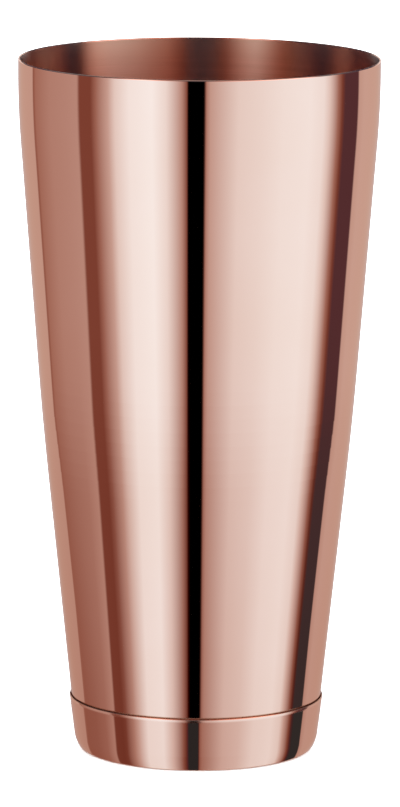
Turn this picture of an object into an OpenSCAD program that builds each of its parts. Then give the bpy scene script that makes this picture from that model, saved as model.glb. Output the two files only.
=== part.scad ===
// Weighted cocktail shaker tin: a drawn sheet-metal tin with a ballast disc sealed under
// its floor by a pressed-on base cup. Millimetres, +Z up, origin at the bottom centre.
//
// Every shell is turned about Z from an outline. An outline point is [radius, height, tilt].
// Tilt is how far the outer surface leans in towards the axis on its way down: 0 is a
// vertical wall and 90 is a flat floor seen from below.

/* [Tin] */
// Outside diameter of the rim
rim_d = 91.8; // [88:0.1:96]
// Height of the whole tin, from the surface it stands on to the rim
tin_h = 177.8; // [170:0.1:185]
// Thickness of the tin's sheet metal
tin_wall = 0.5; // [0.4:0.05:0.9]
// Height of the straight band at the mouth, which a mating tin or glass wedges into
band_h = 3; // [1.5:0.5:6]
// Radius of the long curve from the straight band into the taper
shoulder_r = 236; // [150:1:320]
// Lean of the upper side, in degrees
upper_tilt = 4.5; // [3.5:0.05:5]
// Lean of the lower side, in degrees
lower_tilt = 6.05; // [5.5:0.05:7]
// Height of the middle of the curve that joins the two leans
change_z = 85; // [70:1:100]
// Height that this curve takes up
change_h = 28; // [10:1:40]
// Outside radius of the corner between the side and the floor
floor_corner_r = 3.5; // [2.5:0.1:5]
// Height of the underside of the tin's floor
floor_z = 7.5; // [6.5:0.1:8.5]

/* [Base cup] */
// Thickness of the cup's sheet metal
cup_wall = 0.45; // [0.4:0.05:0.6]
// Height of the top of the cup's lip
lip_z = 14.0; // [13:0.1:16]
// Height over which the lip is rounded off
lip_round = 0.95; // [0.4:0.05:1.2]
// Lean of the cup's side, in degrees
cup_tilt = 7.3; // [6.5:0.1:8.5]
// Radius of the gentle roll at the foot of the side
roll_r = 8; // [6:0.5:12]
// Lean at which the gentle roll turns into the tight edge, in degrees
roll_tilt = 32; // [20:1:40]
// Radius of the tight edge at the foot
edge_r = 1.6; // [1:0.1:2.5]
// Radius at which the flat foot ring ends and the underside starts to rise
foot_inner_r = 24.5; // [20:0.5:25]
// Height of the raised panel inside the foot ring
panel_rise = 1; // [0.6:0.1:1.4]

/* [Inside the base] */
// Diameter of the ballast disc
ballast_d = 50; // [40:1:52]
// Thickness of the ballast disc
ballast_h = 4; // [2:0.25:4]
// Bevel on both edges of the ballast disc
ballast_bevel = 0.6; // [0.3:0.1:1]
// Thickness of the layer that bonds the ballast disc to the cup
bond_h = 0.4; // [0.2:0.1:0.6]
// Diameter of the bond layer
bond_d = 40; // [30:1:42]
// Diameter of the damping pad
pad_d = 44; // [30:1:50]
// How far the tin is drawn in behind the lip, which makes room for the braze
neck_in = 0.18; // [0.12:0.01:0.25]
// Height of the ring of braze in the lap joint
braze_h = 2.4; // [1:0.1:3]

/* [Hidden] */
$fn = 128;

copper = [0.80, 0.52, 0.42];
steel = [0.55, 0.56, 0.58];
bond_grey = [0.75, 0.73, 0.66];
pad_black = [0.12, 0.12, 0.12];
braze_bronze = [0.72, 0.55, 0.32];

press_gap = 0.02;  // clearance between the lip and the tin that it is pressed over
braze_gap = 0.01;  // clearance on each face of the braze, so that the solids stay apart
neck_tilt = 20;    // lean of the step into the neck
rim_steps = 8;
lip_steps = 16;
shoulder_steps = 12;
change_steps = 8;
corner_steps = 10;
step_steps = 4;
rise_tilt = 135;   // lean at the middle of the rise from the foot ring to the panel
rise_steps = 6;

// The outline point after a straight stretch that drops by drop at the start's own tilt.
function straight(start, drop) = [start[0] - drop * tan(start[2]), start[1] - drop, start[2]];

// The outline points along an arc from the start's tilt to the tilt given. The radius is
// positive where the surface bulges outwards and negative where it is hollow.
function turn(start, radius, to_tilt, steps) = [
    for (i = [1 : steps])
        let (tilt = start[2] + (to_tilt - start[2]) * i / steps)
        [
            start[0] - radius * (cos(start[2]) - cos(tilt)),
            start[1] - radius * (sin(tilt) - sin(start[2])),
            tilt
        ]
];

function last(list) = list[len(list) - 1];
function backwards(list) = [for (i = [len(list) - 1 : -1 : 0]) list[i]];

// The point a sheet's thickness inside an outline point, and the outer point itself.
function inside(p, wall) = [p[0] - wall * cos(p[2]), p[1] + wall * sin(p[2])];
function outside(p) = [p[0], p[1]];

// A sheet-metal shell: out along the outline and back along its inner face. The crown
// is what closes the sheet at its top edge, listed from the inner face to the outer.
module shell(outline, wall, crown) {
    rotate_extrude()
        polygon(concat(
            crown,
            [for (p = outline) outside(p)],
            [[0, last(outline)[1]], [0, last(outline)[1] + wall]],
            backwards([for (p = outline) inside(p, wall)])
        ));
}

// Outline of the tin's side, from under the rounded edge of the rim down to the lip.
rim_edge = [rim_d / 2, tin_h - tin_wall / 2, 0];
band_end = straight(rim_edge, band_h - tin_wall / 2);
shoulder = turn(band_end, shoulder_r, upper_tilt, shoulder_steps);
change_top = straight(last(shoulder), last(shoulder)[1] - change_z - change_h / 2);
change_r = change_h / (sin(lower_tilt) - sin(upper_tilt));
change = turn(change_top, change_r, lower_tilt, change_steps);
lap_top = straight(last(change), last(change)[1] - lip_z + lip_round);

// The same outline inside the cup: a small step in, the neck, the corner and the floor.
step_r = neck_in / (cos(lower_tilt) + cos(cup_tilt) - 2 * cos(neck_tilt));
step_high = turn(lap_top, step_r, neck_tilt, step_steps);
step_low = turn(last(step_high), -step_r, cup_tilt, step_steps);
neck_top = last(step_low);
neck_end = straight(neck_top, neck_top[1] - floor_z - floor_corner_r * (1 - sin(cup_tilt)));
floor_corner = turn(neck_end, floor_corner_r, 90, corner_steps);
tin_outline = concat(
    [rim_edge, band_end], shoulder, [change_top], change, [lap_top],
    step_high, step_low, [neck_end], floor_corner
);

// Outline of the cup's outer face, from under the rounded lip down to the panel.
cup_inner_r = lap_top[0] + press_gap;  // at the height of lap_top
lip_half = cup_wall / 2 / cos(cup_tilt);
side_top = [cup_inner_r + 2 * lip_half, lap_top[1], cup_tilt];
roll_h = roll_r * (sin(roll_tilt) - sin(cup_tilt)) + edge_r * (1 - sin(roll_tilt));
side_end = straight(side_top, side_top[1] - roll_h);
roll = turn(side_end, roll_r, roll_tilt, corner_steps);
edge = turn(last(roll), edge_r, 90, corner_steps);
foot_end = [foot_inner_r, 0, 90];
rise_r = panel_rise / 2 / (1 - sin(rise_tilt));
rise_low = turn(foot_end, rise_r, rise_tilt, rise_steps);
rise_high = turn(last(rise_low), -rise_r, 90, rise_steps);
cup_outline = concat([side_top, side_end], roll, edge, [foot_end], rise_low, rise_high);

// Heights of the stack between the two floors.
panel_top = panel_rise + cup_wall;
ballast_z = panel_top + bond_h;
pad_z = ballast_z + ballast_h;

// Drawn tin with a straight mouth, a long taper and a closed floor.
module tin_body() {
    rim_r = tin_wall / 2;
    color(copper)
        shell(tin_outline, tin_wall, [
            for (i = [1 : rim_steps - 1])
                let (angle = 180 - 180 * i / rim_steps)
                [rim_d / 2 - rim_r + rim_r * cos(angle), tin_h - rim_r + rim_r * sin(angle)]
        ]);
}

// Shallow cup pressed over the foot of the tin, with a rounded lip that follows its side.
module base_cup() {
    color(copper)
        shell(cup_outline, cup_wall, [
            for (i = [1 : lip_steps - 1])
                let (angle = 180 - 180 * i / lip_steps, rise = lip_round * sin(angle))
                [
                    cup_inner_r + lip_half * (1 + cos(angle)) + rise * tan(cup_tilt),
                    lap_top[1] + rise
                ]
        ]);
}

// Steel weight, bevelled on both edges.
module ballast_disc() {
    color(steel)
        translate([0, 0, ballast_z])
            rotate_extrude()
                polygon([
                    [0, 0],
                    [ballast_d / 2 - ballast_bevel, 0],
                    [ballast_d / 2, ballast_bevel],
                    [ballast_d / 2, ballast_h - ballast_bevel],
                    [ballast_d / 2 - ballast_bevel, ballast_h],
                    [0, ballast_h]
                ]);
}

// Layer that bonds the weight to the cup's panel.
module ballast_bond() {
    color(bond_grey)
        translate([0, 0, panel_top])
            cylinder(d = bond_d, h = bond_h);
}

// Soft pad that fills the space between the weight and the tin's floor.
module damping_pad() {
    color(pad_black)
        translate([0, 0, pad_z])
            cylinder(d = pad_d, h = floor_z - pad_z);
}

// Ring of braze between the neck of the tin and the side of the cup.
module seam_braze() {
    braze_top = neck_top[1];
    braze_inner = neck_top[0] + braze_gap;
    braze_outer = cup_inner_r - (lap_top[1] - braze_top) * tan(cup_tilt) - braze_gap;
    braze_in = braze_h * tan(cup_tilt);
    color(braze_bronze)
        rotate_extrude()
            polygon([
                [braze_inner, braze_top],
                [braze_outer, braze_top],
                [braze_outer - braze_in, braze_top - braze_h],
                [braze_inner - braze_in, braze_top - braze_h]
            ]);
}

tin_body();
base_cup();
ballast_disc();
ballast_bond();
damping_pad();
seam_braze();
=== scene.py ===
"""Copper-plated cocktail shaker tin in a white studio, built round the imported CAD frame.

Every piece is turned about Z from an outline, as in the CAD. Outlines are in millimetres
and meshes in metres. The studio is in the world shader: soft boxes and dark flags that
stand round the tin, far away, which the polished metal mirrors as upright strips.
"""

import math

import bpy
from mathutils import Matrix, Vector


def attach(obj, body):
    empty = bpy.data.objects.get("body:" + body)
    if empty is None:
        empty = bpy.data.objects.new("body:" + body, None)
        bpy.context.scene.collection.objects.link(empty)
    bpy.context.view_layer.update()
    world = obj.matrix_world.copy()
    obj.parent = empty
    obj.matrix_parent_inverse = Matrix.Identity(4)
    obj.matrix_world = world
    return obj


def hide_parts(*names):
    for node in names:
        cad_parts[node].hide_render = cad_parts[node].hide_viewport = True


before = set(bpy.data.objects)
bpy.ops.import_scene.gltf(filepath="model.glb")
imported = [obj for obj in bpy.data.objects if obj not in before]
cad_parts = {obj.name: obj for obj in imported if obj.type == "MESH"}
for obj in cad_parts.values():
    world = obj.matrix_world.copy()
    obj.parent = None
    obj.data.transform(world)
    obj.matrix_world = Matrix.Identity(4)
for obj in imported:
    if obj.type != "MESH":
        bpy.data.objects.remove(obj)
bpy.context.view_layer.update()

MM = 0.001
AROUND = 256  # faces round every turned piece

# ---------------------------------------------------------------- sizes, in millimetres
RIM_R = 45.9
TIN_H = 177.8
TIN_WALL = 0.5
BAND_H = 3.0
SHOULDER_R = 236.0
UPPER_TILT = 4.5
LOWER_TILT = 6.05
CHANGE_Z = 85.0
CHANGE_H = 28.0
FLOOR_CORNER_R = 3.5
FLOOR_Z = 7.5

CUP_WALL = 0.45
LIP_Z = 14.0
LIP_ROUND = 0.95
CUP_TILT = 7.3
ROLL_R = 8.0
ROLL_TILT = 32.0
EDGE_R = 1.6
FOOT_INNER_R = 24.5
PANEL_RISE = 1.0
RISE_TILT = 135.0

BALLAST_R = 25.0
BALLAST_H = 4.0
BALLAST_BEVEL = 0.6
BOND_H = 0.4
BOND_R = 20.0
PAD_R = 22.0
NECK_IN = 0.18
NECK_TILT = 20.0
BRAZE_H = 2.4
PRESS_GAP = 0.02
BRAZE_GAP = 0.01


# ---------------------------------------------------------------- outlines
# An outline point is (radius, height, tilt). Tilt is how far the outer face leans in
# towards the axis on its way down: 0 is a vertical wall, 90 a flat floor seen from below.
def cos(degrees):
    return math.cos(math.radians(degrees))


def sin(degrees):
    return math.sin(math.radians(degrees))


def tan(degrees):
    return math.tan(math.radians(degrees))


def straight(start, drop):
    """The point after a straight stretch that drops by drop at the start's own tilt."""
    radius, height, tilt = start
    return (radius - drop * tan(tilt), height - drop, tilt)


def turn(start, bend_r, to_tilt, steps):
    """The points along an arc to the tilt given; the radius is negative in a hollow."""
    radius, height, tilt = start
    points = []
    for i in range(1, steps + 1):
        t = tilt + (to_tilt - tilt) * i / steps
        points.append(
            (radius - bend_r * (cos(tilt) - cos(t)), height - bend_r * (sin(t) - sin(tilt)), t)
        )
    return points


def filled(points, longest=4.0, hold=0.06):
    """The outline with every long straight stretch cut into shorter ones. The first and
    last of them are hold long, so that a bend's shading doesn't spread along the stretch."""
    result = [points[0]]
    for a, b in zip(points, points[1:]):
        length = math.dist(a[:2], b[:2])
        shares = [1.0]
        if length > 10 * hold:
            pieces = math.ceil(length / longest)
            between = [i / pieces for i in range(1, pieces)]
            shares = [hold / length, *between, 1 - hold / length, 1.0]
        for share in shares:
            result.append(tuple(u + (v - u) * share for u, v in zip(a, b)))
    return result


def inner_face(points, wall):
    """The outline of a sheet's inner face, a wall's thickness inside its outer one."""
    return [(r - wall * cos(t), z + wall * sin(t), t) for r, z, t in points]


rim_edge = (RIM_R, TIN_H - TIN_WALL / 2, 0.0)
band_end = straight(rim_edge, BAND_H - TIN_WALL / 2)
shoulder = turn(band_end, SHOULDER_R, UPPER_TILT, 12)
change_top = straight(shoulder[-1], shoulder[-1][1] - CHANGE_Z - CHANGE_H / 2)
change = turn(change_top, CHANGE_H / (sin(LOWER_TILT) - sin(UPPER_TILT)), LOWER_TILT, 8)
lap_top = straight(change[-1], change[-1][1] - LIP_Z + LIP_ROUND)
step_r = NECK_IN / (cos(LOWER_TILT) + cos(CUP_TILT) - 2 * cos(NECK_TILT))
step_high = turn(lap_top, step_r, NECK_TILT, 4)
step_low = turn(step_high[-1], -step_r, CUP_TILT, 4)
neck_top = step_low[-1]
neck_end = straight(neck_top, neck_top[1] - FLOOR_Z - FLOOR_CORNER_R * (1 - sin(CUP_TILT)))
floor_corner = turn(neck_end, FLOOR_CORNER_R, 90, 10)
tin_side = [rim_edge, band_end, *shoulder, change_top, *change, lap_top]
tin_foot = [*step_high, *step_low, neck_end, *floor_corner, (0.0, FLOOR_Z, 90.0)]

cup_inner_r = lap_top[0] + PRESS_GAP
lip_half = CUP_WALL / 2 / cos(CUP_TILT)
side_top = (cup_inner_r + 2 * lip_half, lap_top[1], CUP_TILT)
roll_h = ROLL_R * (sin(ROLL_TILT) - sin(CUP_TILT)) + EDGE_R * (1 - sin(ROLL_TILT))
side_end = straight(side_top, side_top[1] - roll_h)
roll = turn(side_end, ROLL_R, ROLL_TILT, 16)
edge = turn(roll[-1], EDGE_R, 90, 16)
foot_end = (FOOT_INNER_R, 0.0, 90.0)
rise_r = PANEL_RISE / 2 / (1 - sin(RISE_TILT))
rise_low = turn(foot_end, rise_r, RISE_TILT, 8)
rise_high = turn(rise_low[-1], -rise_r, 90, 8)
cup_side = [side_top, side_end, *roll, *edge]
cup_under = [foot_end, *rise_low, *rise_high, (0.0, PANEL_RISE, 90.0)]

panel_top = PANEL_RISE + CUP_WALL
ballast_z = panel_top + BOND_H
pad_z = ballast_z + BALLAST_H


# ---------------------------------------------------------------- node trees
def node(tree, kind, settings=None, **inputs):
    """Adds a node. Inputs are named as in Blender, with _ for a space; a value is a
    number, a vector or another node's output."""
    new = tree.nodes.new("ShaderNode" + kind)
    for name, value in (settings or {}).items():
        setattr(new, name, value)
    for name, value in inputs.items():
        put(tree, new.inputs[name.replace("_", " ")], value)
    return new


def put(tree, socket, value):
    if isinstance(value, bpy.types.NodeSocket):
        tree.links.new(value, socket)
    else:
        socket.default_value = value


def math_node(tree, operation, *values):
    new = node(tree, "Math", {"operation": operation})
    for socket, value in zip(new.inputs, values):
        put(tree, socket, value)
    return new.outputs[0]


def span(tree, value, low, high, to_low=0.0, to_high=1.0, smooth=False):
    """Value, mapped from low..high to to_low..to_high and held there outside it."""
    new = node(
        tree,
        "MapRange",
        {"interpolation_type": "SMOOTHSTEP" if smooth else "LINEAR"},
        Value=value,
    )
    limits = {"From Min": low, "From Max": high, "To Min": to_low, "To Max": to_high}
    for name, number in limits.items():
        new.inputs[name].default_value = number
    return new.outputs["Result"]


def band(tree, value, limits, unit=1.0):
    """1 in a band of the value and 0 outside it: rising, held and falling between limits."""
    low, full, fading, high = (limit * unit for limit in limits)
    rise, fall = span(tree, value, low, full), span(tree, value, fading, high, 1.0, 0.0)
    return math_node(tree, "MULTIPLY", rise, fall)


def mix_colour(tree, share, a, b, blend="MIX"):
    new = node(tree, "Mix", {"data_type": "RGBA", "blend_type": blend})
    put(tree, new.inputs[0], share)
    put(tree, new.inputs[6], a)
    put(tree, new.inputs[7], b)
    return new.outputs[2]


def ramp(tree, value, stops):
    """A colour ramp through (position, colour) stops."""
    new = node(tree, "ValToRGB", Fac=value)
    elements = new.color_ramp.elements
    while len(elements) < len(stops):
        elements.new(0.5)
    for element, (position, colour) in zip(elements, stops):
        element.position = position
    for element, (position, colour) in zip(elements, stops):
        element.color = (*colour, 1.0)
    return new.outputs["Color"]


# ---------------------------------------------------------------- studio
COPPER = (0.955, 0.56, 0.42)  # how much of each colour the polished copper reflects

# How bright the studio is round the tin, as (angle, level for rays that leave the tin by
# its mouth, level for rays that leave it by its foot). Angles are in degrees from the
# camera. A level is how bright the red in the copper is, from 0 for black to 1 for white.
RIGHT = [
    (0.0, 0.0, 0.0),  # the dark gap in front, which shows in the middle of the tin
    (3.4, 0.0, 0.0),
    (4.0, 0.30, 0.06),  # the wide soft box
    (5.0, 0.45, 0.27),
    (7.0, 0.55, 0.36),
    (25.0, 0.79, 0.60),
    (40.0, 0.83, 0.66),
    (55.0, 0.88, 0.78),
    (75.0, 0.90, 0.82),
    (86.0, 0.86, 0.76),
    (91.0, 0.74, 0.56),
    (99.0, 0.35, 0.22),
    (103.0, 0.18, 0.06),
    (106.0, 0.085, 0.03),  # the flag
    (120.7, 0.085, 0.03),
    (122.0, 0.54, 0.46),  # the pale wall behind it
    (130.0, 0.58, 0.52),
    (180.0, 0.58, 0.53),
]
LEFT = [
    (0.0, 0.0, 0.0),  # the other half of the dark gap
    (5.5, 0.0, 0.0),
    (7.0, 0.0, 0.05),
    (7.6, 0.20, 0.09),  # the narrow soft box
    (11.0, 0.48, 0.24),
    (21.0, 0.84, 0.64),
    (30.0, 0.94, 0.84),
    (45.0, 0.90, 0.82),
    (55.0, 0.77, 0.54),
    (60.0, 0.57, 0.40),
    (69.0, 0.33, 0.18),
    (73.0, 0.20, 0.16),  # the brown flag
    (82.0, 0.20, 0.17),
    (84.0, 0.48, 0.42),  # the wall behind it, dimmer the farther back
    (95.0, 0.46, 0.32),
    (110.0, 0.44, 0.28),
    (128.0, 0.36, 0.27),
    (131.2, 0.26, 0.31),
    (132.6, 0.54, 0.46),  # the pale wall
    (180.0, 0.58, 0.53),
]
# The same for rays that leave upwards, which the satin inside of the tin gathers. The
# camera sees this side for side: what stands on the right lights the left of the inside.
ABOVE = [
    (-180.0, 0.05),
    (-68.0, 0.05),
    (-62.0, 0.12),
    (-55.0, 0.32),
    (-46.0, 1.15),
    (-37.0, 1.60),
    (-27.0, 1.15),
    (-19.0, 0.50),
    (-13.0, 0.12),
    (-10.0, 0.05),
    (7.0, 0.05),
    (10.0, 0.16),
    (14.0, 0.38),
    (22.0, 0.80),
    (32.0, 1.05),
    (45.0, 1.35),
    (60.0, 1.55),
    (70.0, 1.50),
    (78.0, 1.10),
    (84.0, 0.12),
    (88.0, 0.05),
    (180.0, 0.05),
]
GATHERED = 0.3  # how bright the inside looks in light of level 1
GAIN = 1.26  # makes up for what the dull copper inside takes away
# Higher up there is dim light behind the tin, and right overhead a warm one.
HIGH = [(-180.0, 0.3), (-125.0, 0.3), (-100.0, 0.03), (100.0, 0.03), (125.0, 0.3), (180.0, 0.3)]
OVERHEAD = 0.45
LOW_BEHIND = 0.45
UNDER_RIM = 0.08

# Where one part of the studio gives way to the next. A rise is the sine of the angle that a
# ray goes up at, so that it is 0 for a level ray and negative for one that goes down.
ABOVE_FROM = (0.0, 0.06)
HIGH_FROM = (0.50, 0.64)
OVERHEAD_FROM = (0.82, 0.92)
UNDER_RIM_FROM = (-0.105, -0.06)
STEEP_FROM = (-0.70, -0.80)
BEHIND_ANGLES = (145.0, 150.0, 168.0, 173.0)
BEHIND_RISES = (0.0, 0.05, 0.18, 0.22)
TOWARD_CAMERA = (-0.993, -0.975)  # the line to the camera, on Y, for the side and the cup
UPRIGHT_RISE = -0.17  # the rise of a ray that an upright wall mirrors to the camera
SIDE_LEANS = (0.13, 0.30)  # how far the surfaces lean from the mouth's levels to the foot's
CUP_LEANS = (0.26, 0.28)  # between the lean of the tin's side and that of the cup's

# Colours that things have in the copper.
PALE = (1.0, 0.80, 0.72)
WARM = (1.0, 0.55, 0.42)
PLUM = (1.0, 0.30, 0.32)
MAUVE = (1.0, 0.65, 0.9)
GREY = (1.0, 0.74, 0.68)
TABLE = 0.024  # how bright the dimmest thing is that the foot of the tin mirrors
FLAG = (105.0, 121.0)  # where the right-hand flag stands


def tinted(level, tint):
    """Light that has this colour in the copper."""
    return [level * value / part for value, part in zip(tint, COPPER)]


def glow(level):
    """Light that looks this bright in the copper: warm where dim, neutral where bright."""
    return tinted(1.0, (level, 0.91 * level**1.83, 0.87 * level**2.12))


def strips(tree, angle, table, column):
    """The strips on one side, by the angle's size in degrees."""
    stops = []
    for row in table:
        colour = glow(row[column])
        if table is RIGHT and FLAG[0] < row[0] < FLAG[1]:
            colour = tinted(row[column], (PLUM, GREY)[column - 1])
        stops.append((row[0] / 180, colour))
    return ramp(tree, math_node(tree, "DIVIDE", angle, 180.0), stops)


def build_world():
    world = bpy.data.worlds.new("studio")
    world.use_nodes = True
    bpy.context.scene.world = world
    tree = world.node_tree
    tree.nodes.clear()

    direction = node(tree, "TexCoord").outputs["Generated"]
    x, y, z = node(tree, "SeparateXYZ", Vector=direction).outputs
    angle = math_node(
        tree, "DEGREES", math_node(tree, "ARCTAN2", x, math_node(tree, "MULTIPLY", y, -1.0))
    )
    size = math_node(tree, "ABSOLUTE", angle)
    # The taper and the rolled foot send rays down and outwards. The strips under the tin
    # are bent to suit, so that from the camera's first place the copper shows them upright
    # all the way to the floor. They stay where they are when the camera moves. Halfway
    # between a ray and the line to the camera is the way that the copper faces.
    flat = node(tree, "CombineXYZ", X=x, Y=y).outputs[0]
    halfway = node(tree, "VectorMath", {"operation": "ADD"})
    put(tree, halfway.inputs[0], flat)
    toward = span(tree, z, -0.12, -0.42, *TOWARD_CAMERA)
    put(tree, halfway.inputs[1], node(tree, "CombineXYZ", X=0.0, Y=toward).outputs[0])
    hx, hy, _ = node(tree, "SeparateXYZ", Vector=halfway.outputs[0]).outputs
    half_angle = math_node(tree, "ARCTAN2", hx, math_node(tree, "MULTIPLY", hy, -1.0))
    upright = math_node(
        tree, "ABSOLUTE", math_node(tree, "DEGREES", math_node(tree, "MULTIPLY", half_angle, 2.0))
    )
    # How far the surface that sent the ray leans, from nothing at the mouth to the cup.
    lean = math_node(
        tree,
        "DIVIDE",
        math_node(tree, "SUBTRACT", UPRIGHT_RISE, z),
        math_node(tree, "MAXIMUM", math_node(tree, "COSINE", half_angle), 0.25),
    )
    down = span(tree, lean, *SIDE_LEANS)
    far_round = math_node(tree, "POWER", math_node(tree, "DIVIDE", upright, 100.0), 2.5)
    outward = math_node(tree, "MULTIPLY", far_round, span(tree, lean, 0.17, 0.26, 0.0, 4.2))
    on_right = math_node(tree, "GREATER_THAN", angle, 0.0)
    # On the cup, the dark strip in the middle is a little narrower on its right.
    pinch = math_node(tree, "MULTIPLY", on_right, span(tree, lean, *CUP_LEANS, 0.0, 1.3))
    pinch = math_node(tree, "MULTIPLY", pinch, span(tree, upright, 4.0, 12.0, 1.0, 0.0))
    upright = math_node(tree, "ADD", math_node(tree, "ADD", upright, outward), pinch)
    blend = node(tree, "Mix", {"data_type": "FLOAT"})
    beside = span(tree, size, 150.0, 175.0, 1.0, 0.0, smooth=True)
    steep = span(tree, z, *STEEP_FROM)
    put(tree, blend.inputs[0], math_node(tree, "MAXIMUM", beside, steep))
    put(tree, blend.inputs[2], size)
    put(tree, blend.inputs[3], upright)
    bent = blend.outputs[0]
    levels = []
    for column in (1, 2):
        levels.append(
            mix_colour(
                tree, on_right, strips(tree, bent, LEFT, column), strips(tree, bent, RIGHT, column)
            )
        )
    below = mix_colour(tree, down, *levels)
    table = (*tinted(TABLE, GREY), 1.0)
    below = mix_colour(tree, span(tree, lean, *CUP_LEANS), below, table, "LIGHTEN")
    level = span(tree, z, *UNDER_RIM_FROM)
    below = mix_colour(tree, level, below, (*tinted(UNDER_RIM, PALE), 1.0), "ADD")

    around = math_node(tree, "ADD", math_node(tree, "DIVIDE", angle, 360.0), 0.5)
    stops = []
    for facing, level in ABOVE:
        colour = [part * GAIN / GATHERED for part in glow(level * GATHERED)]
        stops.append(((facing + 180) / 360, tinted(level, MAUVE) if level < 0.1 else colour))
    above = ramp(tree, around, stops)
    high = ramp(
        tree,
        around,
        [((a + 180) / 360, tinted(level, WARM if level < 0.2 else PALE)) for a, level in HIGH],
    )
    high = mix_colour(tree, span(tree, z, *OVERHEAD_FROM), high, (*tinted(OVERHEAD, WARM), 1.0))
    above = mix_colour(tree, span(tree, z, *HIGH_FROM), above, high)
    # The strips go on above the mouth behind the tin, where the ends of the rim mirror them.
    over = math_node(tree, "SUBTRACT", z, span(tree, size, 140.0, 155.0, 0.0, 0.15))
    studio = mix_colour(tree, span(tree, over, *ABOVE_FROM), below, above)
    # A low light behind the tin on each side, which the two ends of the rim mirror.
    behind = band(tree, size, BEHIND_ANGLES)
    behind = math_node(tree, "MULTIPLY", behind, band(tree, z, BEHIND_RISES))
    studio = mix_colour(tree, behind, studio, (*tinted(LOW_BEHIND, PALE), 1.0), "ADD")

    # The floor is lit by an even soft light, and the camera sees plain white behind it.
    path = node(tree, "LightPath")
    soft = (3.0, 3.0, 3.0, 1.0)
    seen = mix_colour(tree, path.outputs["Is Diffuse Ray"], studio, soft)
    seen = mix_colour(tree, path.outputs["Is Camera Ray"], seen, (1.0, 1.0, 1.0, 1.0))
    background = node(tree, "Background", Color=seen, Strength=1.0)
    tree.links.new(background.outputs[0], node(tree, "OutputWorld").inputs["Surface"])
    if hasattr(world, "cycles"):
        world.cycles.sampling_method = "NONE"  # a sampled world can't tell the kinds of ray apart


# ---------------------------------------------------------------- materials
EDGE_TINT = (0.98, 0.82, 0.70)  # keeps the copper's colour where it is seen edge on
# Painted shade: SEAM holds the heights of a dark line painted into the polished copper at the seam,
# standing in for the crevice's dark reflection.
SEAM = (13.70, 13.82, 14.24, 14.40)  # heights of the dark line, in millimetres
LIP = (12.9, 13.1, 13.75, 13.9)
SEAM_SHADE = (0.64, 0.30, 0.18)


def material(name, metallic=0.0, colour=(0.8, 0.8, 0.8)):
    made = bpy.data.materials.new(name)
    made.use_nodes = True
    tree = made.node_tree
    shader = next(n for n in tree.nodes if n.type == "BSDF_PRINCIPLED")
    shader.inputs["Base Color"].default_value = (*colour, 1.0)
    shader.inputs["Metallic"].default_value = metallic
    made.diffuse_color = (*colour, 1.0)
    return made, tree, shader


def turned_place(tree, round_scale, across_scale):
    """Coordinates for marks that run round the axis: long along the turn, fine across it.
    Across is height on a wall and radius on a floor."""
    place = node(tree, "TexCoord").outputs["Object"]
    x, y, z = node(tree, "SeparateXYZ", Vector=place).outputs
    flat = node(tree, "CombineXYZ", X=x, Y=y).outputs[0]
    radius = node(tree, "VectorMath", {"operation": "LENGTH"})
    put(tree, radius.inputs[0], flat)
    spoke = node(tree, "VectorMath", {"operation": "NORMALIZE"})
    put(tree, spoke.inputs[0], flat)
    sx, sy, _ = node(tree, "SeparateXYZ", Vector=spoke.outputs["Vector"]).outputs
    across = math_node(tree, "ADD", z, radius.outputs["Value"])
    return node(
        tree,
        "CombineXYZ",
        X=math_node(tree, "MULTIPLY", sx, round_scale),
        Y=math_node(tree, "MULTIPLY", sy, round_scale),
        Z=math_node(tree, "MULTIPLY", across, across_scale),
    ).outputs[0]


def noise(tree, vector, scale=1.0, detail=2.0, roughness=0.5):
    return node(
        tree,
        "TexNoise",
        Vector=vector,
        Scale=scale,
        Detail=detail,
        Roughness=roughness,
    ).outputs["Fac"]


def blended(tree, a, b, share):
    """Two values blended: share of b and the rest of a."""
    rest = math_node(tree, "MULTIPLY", a, 1.0 - share)
    return math_node(tree, "ADD", math_node(tree, "MULTIPLY", b, share), rest)


def bump(tree, shader, height, distance, strength=1.0):
    made = node(tree, "Bump", Height=height, Strength=strength, Distance=distance)
    put(tree, shader.inputs["Normal"], made.outputs["Normal"])


def shades(tree, share, low, high):
    return mix_colour(tree, share, (*low, 1.0), (*high, 1.0))


def make_polished():
    made, tree, shader = material("copper_polished", 1.0, COPPER)
    shader.inputs["Specular Tint"].default_value = (*EDGE_TINT, 1.0)
    place = node(tree, "TexCoord").outputs["Object"]
    _, _, height = node(tree, "SeparateXYZ", Vector=place).outputs
    cloud = noise(tree, place, 28.0, 4.0, 0.55)
    lines = noise(tree, turned_place(tree, 2.2, 2600.0), 1.0, 3.0, 0.6)
    dull = blended(tree, cloud, lines, 0.5)
    gloss = span(tree, dull, 0.35, 0.65, 0.01, 0.03)
    tint = shades(tree, span(tree, cloud, 0.35, 0.65), COPPER, (0.945, 0.548, 0.405))
    # Painted shade: the copper's colour is darkened in a line at the seam, in place of the
    # crevice's dark reflection, and the rounded lip under it is a little less sharp.
    seam = band(tree, height, SEAM, MM)
    put(tree, shader.inputs["Base Color"], mix_colour(tree, seam, tint, (*SEAM_SHADE, 1.0)))
    rough = math_node(tree, "MAXIMUM", gloss, math_node(tree, "MULTIPLY", seam, 0.3))
    lip = math_node(tree, "MULTIPLY", band(tree, height, LIP, MM), 0.13)
    rough = math_node(tree, "MAXIMUM", rough, lip)
    put(tree, shader.inputs["Roughness"], rough)
    return made


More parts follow.
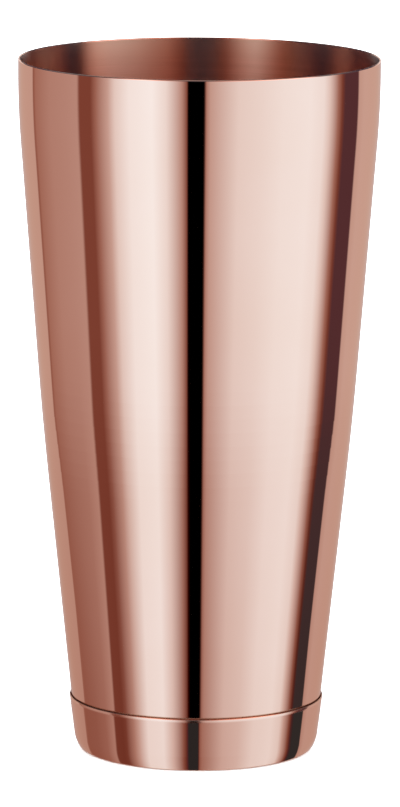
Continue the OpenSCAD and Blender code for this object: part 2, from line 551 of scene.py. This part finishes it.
def make_brushed():
    made, tree, shader = material("copper_brushed", 1.0, COPPER)
    lines = noise(tree, turned_place(tree, 1.6, 1300.0), 1.0, 4.0, 0.7)
    bands = noise(tree, turned_place(tree, 0.8, 420.0), 1.0, 2.0, 0.5)
    mixed = blended(tree, bands, lines, 0.65)
    put(tree, shader.inputs["Roughness"], span(tree, mixed, 0.3, 0.7, 0.28, 0.30))
    tint = shades(tree, span(tree, mixed, 0.3, 0.7), (0.64, 0.35, 0.25), (0.78, 0.455, 0.345))
    # Painted light: the brushed copper's colour is lighter close to the rim, where more light comes
    # in at the mouth.
    place = node(tree, "TexCoord").outputs["Object"]
    _, _, height = node(tree, "SeparateXYZ", Vector=place).outputs
    rim_light_share = span(tree, height, 168 * MM, 178 * MM, smooth=True)
    tint = mix_colour(tree, rim_light_share, tint, (0.80, 0.57, 0.43, 1.0))
    put(tree, shader.inputs["Base Color"], tint)
    shader.inputs["Anisotropic"].default_value = 0.97
    shader.inputs["Anisotropic Rotation"].default_value = 0.25
    tangent = node(tree, "Tangent", {"direction_type": "RADIAL", "axis": "Z"})
    put(tree, shader.inputs["Tangent"], tangent.outputs["Tangent"])
    bump(tree, shader, mixed, 0.0000005)
    return made


def make_steel():
    made, tree, shader = material("ballast_steel", 1.0, (0.56, 0.57, 0.58))
    lines = noise(tree, turned_place(tree, 1.2, 3000.0), 1.0, 3.0, 0.6)
    put(tree, shader.inputs["Roughness"], span(tree, lines, 0.3, 0.7, 0.28, 0.42))
    tint = shades(tree, lines, (0.50, 0.51, 0.52), (0.60, 0.61, 0.62))
    put(tree, shader.inputs["Base Color"], tint)
    shader.inputs["Anisotropic"].default_value = 0.6
    bump(tree, shader, lines, 0.000008)
    return made


def make_bond():
    made, tree, shader = material("bond_adhesive", 0.0, (0.48, 0.43, 0.32))
    place = node(tree, "TexCoord").outputs["Object"]
    cloud = noise(tree, place, 260.0, 3.0, 0.5)
    tint = shades(tree, cloud, (0.42, 0.37, 0.26), (0.54, 0.50, 0.39))
    put(tree, shader.inputs["Base Color"], tint)
    put(tree, shader.inputs["Roughness"], span(tree, cloud, 0.3, 0.7, 0.55, 0.75))
    bump(tree, shader, cloud, 0.00005)
    return made


def make_pad():
    made, tree, shader = material("pad_rubber", 0.0, (0.02, 0.02, 0.02))
    place = node(tree, "TexCoord").outputs["Object"]
    pores = node(tree, "TexVoronoi", Vector=place, Scale=1400.0).outputs["Distance"]
    tint = shades(tree, pores, (0.012, 0.012, 0.012), (0.035, 0.035, 0.036))
    put(tree, shader.inputs["Base Color"], tint)
    put(tree, shader.inputs["Roughness"], span(tree, pores, 0.0, 0.7, 0.75, 0.95))
    bump(tree, shader, pores, 0.00012)
    return made


def make_braze():
    made, tree, shader = material("braze_filler", 1.0, (0.78, 0.52, 0.24))
    place = node(tree, "TexCoord").outputs["Object"]
    cloud = noise(tree, place, 420.0, 4.0, 0.55)
    tint = shades(tree, cloud, (0.70, 0.44, 0.19), (0.84, 0.60, 0.30))
    put(tree, shader.inputs["Base Color"], tint)
    put(tree, shader.inputs["Roughness"], span(tree, cloud, 0.3, 0.7, 0.25, 0.45))
    bump(tree, shader, cloud, 0.00003)
    return made


# ---------------------------------------------------------------- pieces
def turned(name, loop, materials):
    """A solid turned about Z from a loop of (radius, height, material) points. A point's
    material is on the face from it to the next point, and a point on the axis is one
    vertex. The loop runs down the outside and up the inside."""
    vertices, rings = [], []
    for radius, height, _ in loop:
        if radius < 1e-6:
            rings.append([len(vertices)] * AROUND)
            vertices.append((0.0, 0.0, height * MM))
            continue
        first = len(vertices)
        rings.append([first + i for i in range(AROUND)])
        for i in range(AROUND):
            angle = 2 * math.pi * i / AROUND
            vertices.append(
                (radius * MM * math.cos(angle), radius * MM * math.sin(angle), height * MM)
            )
    faces, looks = [], []
    for i, ring in enumerate(rings):
        following = rings[(i + 1) % len(rings)]
        if len(set(ring)) == 1 and len(set(following)) == 1:
            continue
        for j in range(AROUND):
            k = (j + 1) % AROUND
            corners = [ring[j], following[j], following[k], ring[k]]
            faces.append(list(dict.fromkeys(corners)))
            looks.append(loop[i][2])
    mesh = bpy.data.meshes.new(name + "_look")
    mesh.from_pydata(vertices, [], faces)
    for made in materials:
        mesh.materials.append(made)
    mesh.polygons.foreach_set("material_index", looks)
    mesh.polygons.foreach_set("use_smooth", [True] * len(faces))
    mesh.update()
    mesh.set_sharp_from_angle(angle=math.radians(35))
    piece = bpy.data.objects.new(name + "_look", mesh)
    bpy.context.scene.collection.objects.link(piece)
    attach(piece, "root")
    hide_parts(name)
    return piece


def looked(points, look):
    return [(r, z, look) for r, z, *_ in points]


def arc(centre, radii, start, end, steps):
    """Points round part of an ellipse, both ends included, angles in degrees."""
    angles = [start + (end - start) * i / steps for i in range(steps + 1)]
    return [(centre[0] + radii[0] * cos(a), centre[1] + radii[1] * sin(a)) for a in angles]


def build_pieces():
    polished, brushed = make_polished(), make_brushed()

    half = TIN_WALL / 2
    rim = arc((RIM_R - half, TIN_H - half), (half, half), 180, 0, 12)
    outline = filled(tin_side + tin_foot)
    outer, inner = outline[1:], inner_face(outline, TIN_WALL)[1:]
    inner[-1] = (0.0, FLOOR_Z + TIN_WALL, 90.0)
    loop = looked(rim, 0) + looked(outer, 0) + looked(reversed(inner), 1)
    turned("tin_body", loop, [polished, brushed])

    lip = arc((cup_inner_r + lip_half, 0.0), (lip_half, LIP_ROUND), 180, 0, 32)[1:-1]
    lip = [(radius + rise * tan(CUP_TILT), lap_top[1] + rise) for radius, rise in lip]
    side, under = filled(cup_side), filled([cup_side[-1], *cup_under])[1:]
    inner = inner_face(side + under, CUP_WALL)
    inner[-1] = (0.0, PANEL_RISE + CUP_WALL, 90.0)
    loop = looked(lip, 0) + looked(side, 0) + looked(under, 1) + looked(reversed(inner), 1)
    turned("base_cup", loop, [polished, brushed])

    top, bevel = ballast_z + BALLAST_H, BALLAST_BEVEL
    loop = [
        (0.0, top),
        (BALLAST_R - bevel, top),
        (BALLAST_R, top - bevel),
        (BALLAST_R, ballast_z + bevel),
        (BALLAST_R - bevel, ballast_z),
        (0.0, ballast_z),
    ]
    turned("ballast_disc", looked(filled(loop), 0), [make_steel()])

    squeezed = arc((BOND_R - 0.2, panel_top + BOND_H / 2), (0.2, BOND_H / 2), 90, -90, 8)
    loop = filled([(0.0, panel_top + BOND_H), *squeezed, (0.0, panel_top)])
    turned("ballast_bond", looked(loop, 0), [make_bond()])

    soft_edge = arc((PAD_R - 0.5, (pad_z + FLOOR_Z) / 2), (0.5, (FLOOR_Z - pad_z) / 2), 90, -90, 12)
    loop = filled([(0.0, FLOOR_Z), *soft_edge, (0.0, pad_z)])
    turned("damping_pad", looked(loop, 0), [make_pad()])

    braze_top = neck_top[1]
    near = neck_top[0] + BRAZE_GAP
    far = cup_inner_r - (lap_top[1] - braze_top) * tan(CUP_TILT) - BRAZE_GAP
    lean = BRAZE_H * tan(CUP_TILT)
    middle, half = (near + far) / 2, (far - near) / 2
    hollow = arc((middle, braze_top), (half, 0.05), 180, 360, 6)
    foot = arc((middle - lean, braze_top - BRAZE_H), (half, 0.05), 0, 180, 6)
    turned("seam_braze", looked(hollow + foot, 0), [make_braze()])


# ---------------------------------------------------------------- camera and floor
AIM = Vector((0.6, 0.0, 89.25)) * MM
DISTANCE = 1678 * MM
ELEVATION = math.radians(9.88)
ROLL = math.radians(0.33)
LENS = 293.6


def build_camera():
    back = Vector((0.0, -math.cos(ELEVATION), math.sin(ELEVATION)))
    right = Vector((1.0, 0.0, 0.0))
    up = back.cross(right)
    rolled_right = right * math.cos(ROLL) + up * math.sin(ROLL)
    rolled_up = up * math.cos(ROLL) - right * math.sin(ROLL)
    camera = bpy.data.cameras.new("camera")
    camera.lens = LENS
    camera.sensor_width = 36.0
    holder = bpy.data.objects.new("camera", camera)
    turn_to = Matrix((rolled_right, rolled_up, back)).transposed().to_4x4()
    holder.matrix_world = Matrix.Translation(AIM + back * DISTANCE) @ turn_to
    bpy.context.scene.collection.objects.link(holder)
    bpy.context.scene.camera = holder


def build_floor():
    half = 30.0
    mesh = bpy.data.meshes.new("floor")
    corners = [(-half, -half, 0.0), (half, -half, 0.0), (half, half, 0.0), (-half, half, 0.0)]
    mesh.from_pydata(corners, [], [(0, 1, 2, 3)])
    made, tree, shader = material("floor_white", 0.0, (0.92, 0.92, 0.92))
    shader.inputs["Roughness"].default_value = 1.0
    shader.inputs["Specular IOR Level"].default_value = 0.0
    mesh.materials.append(made)
    floor = bpy.data.objects.new("floor", mesh)
    floor.visible_glossy = False
    bpy.context.scene.collection.objects.link(floor)


build_camera()
build_world()
build_floor()
build_pieces()
view = bpy.context.scene.view_settings
view.view_transform = "Standard"
view.look = "None"
